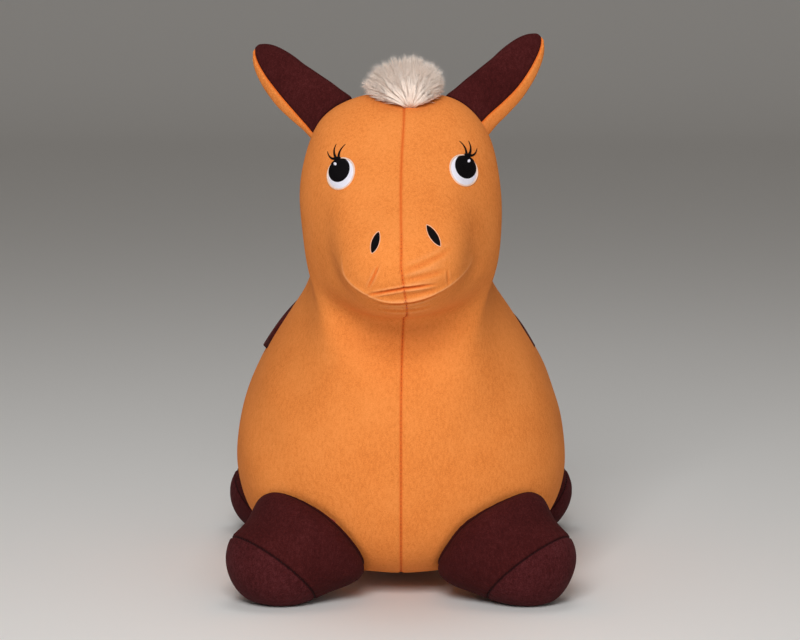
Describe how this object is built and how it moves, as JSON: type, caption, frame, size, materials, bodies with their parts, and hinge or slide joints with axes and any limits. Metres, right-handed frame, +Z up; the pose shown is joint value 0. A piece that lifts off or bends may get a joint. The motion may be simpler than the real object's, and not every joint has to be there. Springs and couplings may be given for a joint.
{
  "type": "ride-on bouncy horse",
  "caption": "Plush-covered inflatable bouncy horse: taut two-half fleece cover, stub feet with sole panels, ear handles, fur tuft, saddle, belly zip and air bladder.",
  "frame": {"origin": "on the floor under the middle of the horse's bounding box", "axes": "the horse faces -Y, its own left is +X, and +Z is up"},
  "size_m": [0.3228, 0.5367, 0.4792],
  "materials": {
    "orange_fleece": "short-pile orange fleece",
    "maroon_fleece": "short-pile dark maroon fleece",
    "cream_fur": "soft long-pile cream fur",
    "white_thread": "satin-stitch embroidery",
    "black_thread": "satin-stitch embroidery",
    "filling": "loose polyester filling",
    "bladder_vinyl": "soft satin vinyl",
    "plug_plastic": "satin",
    "zip_tape": "woven tape",
    "zip_teeth": "satin moulded",
    "zip_metal": "satin nickel"
  },
  "bodies": {
    "horse": {"cover_left": "orange_fleece", "cover_right": "orange_fleece", "bladder": "bladder_vinyl", "boot_front_left": "maroon_fleece", "boot_front_right": "maroon_fleece", "boot_rear_left": "maroon_fleece", "boot_rear_right": "maroon_fleece", "sole_front_left": "maroon_fleece", "sole_front_right": "maroon_fleece", "sole_rear_left": "maroon_fleece", "sole_rear_right": "maroon_fleece", "saddle": "maroon_fleece", "mane": "cream_fur", "eye_white_left": "white_thread", "eye_white_right": "white_thread", "eye_pupil_left": "black_thread", "eye_pupil_right": "black_thread", "nostril_left": "black_thread", "nostril_right": "black_thread", "zip_tape_left": "zip_tape", "zip_tape_right": "zip_tape", "zip_teeth_left": "zip_teeth", "zip_teeth_right": "zip_teeth", "zip_stop_front": "zip_metal", "zip_stop_rear": "zip_metal"},
    "ear_left": {"ear_back_left": "orange_fleece", "ear_lining_left": "maroon_fleece", "ear_stuffing_left": "filling"},
    "ear_right": {"ear_back_right": "orange_fleece", "ear_lining_right": "maroon_fleece", "ear_stuffing_right": "filling"},
    "tail": {"tail": "cream_fur"},
    "slider": {"zip_slider": "zip_metal"},
    "pull": {"zip_pull": "zip_metal"},
    "plug": {"valve_plug": "plug_plastic"}
  },
  "joints": [
    {"name": "ear_left_flex", "type": "hinge", "parent": "horse", "child": "ear_left", "pos_m": [0.06228, -0.09663, 0.40686], "axis": [0.7379, 0.1866, -0.6486], "range_deg": [-25, 25], "stiffness_Nm_per_rad": 1},
    {"name": "ear_right_flex", "type": "hinge", "parent": "horse", "child": "ear_right", "pos_m": [-0.06478, -0.09663, 0.4047], "axis": [-0.6586, 0.1781, -0.7311], "range_deg": [-25, 25], "stiffness_Nm_per_rad": 1},
    {"name": "tail_swing", "type": "hinge", "parent": "horse", "child": "tail", "pos_m": [0, 0.21827, 0.22318], "axis": [1, 0, 0], "range_deg": [0, 80]},
    {"name": "zip_slide", "type": "slide", "parent": "horse", "child": "slider", "axis": [0, 1, 0], "range_m": [0, 0.11], "deforming": ["zip_teeth_left", "zip_teeth_right"]},
    {"name": "zip_pull_swing", "type": "hinge", "parent": "slider", "child": "pull", "pos_m": [0, -0.01976, 0.0089], "axis": [1, 0, 0], "range_deg": [-80, 80]},
    {"name": "plug_pull", "type": "slide", "parent": "horse", "child": "plug", "axis": [0, 1, 0], "range_m": [0, 0.03]}
  ]
}
